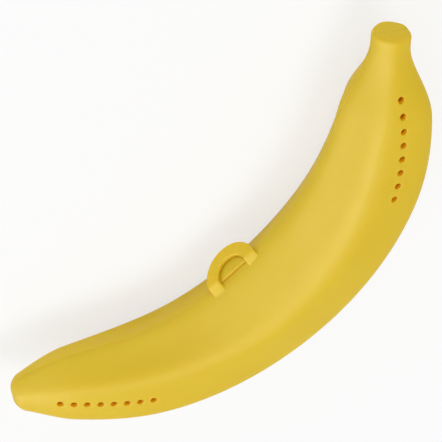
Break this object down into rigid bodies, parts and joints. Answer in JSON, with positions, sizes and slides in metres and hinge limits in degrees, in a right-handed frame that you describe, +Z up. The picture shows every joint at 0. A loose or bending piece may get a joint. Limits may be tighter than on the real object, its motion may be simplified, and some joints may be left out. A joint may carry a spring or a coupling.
{
  "type": "banana carrying case",
  "caption": "Hard yellow plastic carrying case shaped like a banana, with two hinged half shells, rows of vents and a loop latch.",
  "frame": {"origin": "centre of the bounding box in plan, at the lowest point of the case lying on its side", "axes": "+X from the stem towards the tip, +Y towards the hinge on the outer curve, +Z up, square to the parting plane"},
  "size_m": [0.24, 0.099, 0.0518],
  "materials": {
    "shell_plastic": "satin moulded",
    "loop_plastic": "satin moulded",
    "pin_steel": "drawn wire"
  },
  "bodies": {
    "base": {"bottom_shell": "shell_plastic", "hinge_pin": "pin_steel"},
    "lid": {"top_shell": "shell_plastic"},
    "loop": {"latch_loop": "loop_plastic"}
  },
  "joints": [
    {"name": "lid_hinge", "type": "hinge", "parent": "base", "child": "lid", "pos_m": [0.0025, 0.04609, 0.0259], "axis": [-1, 0, 0], "range_deg": [0, 180]},
    {"name": "loop_flex", "type": "hinge", "parent": "lid", "child": "loop", "pos_m": [0.01157, -0.00831, 0.0235], "axis": [-0.9975, 0.0702, 0], "range_deg": [0, 20], "stiffness_Nm_per_rad": 0.01}
  ]
}
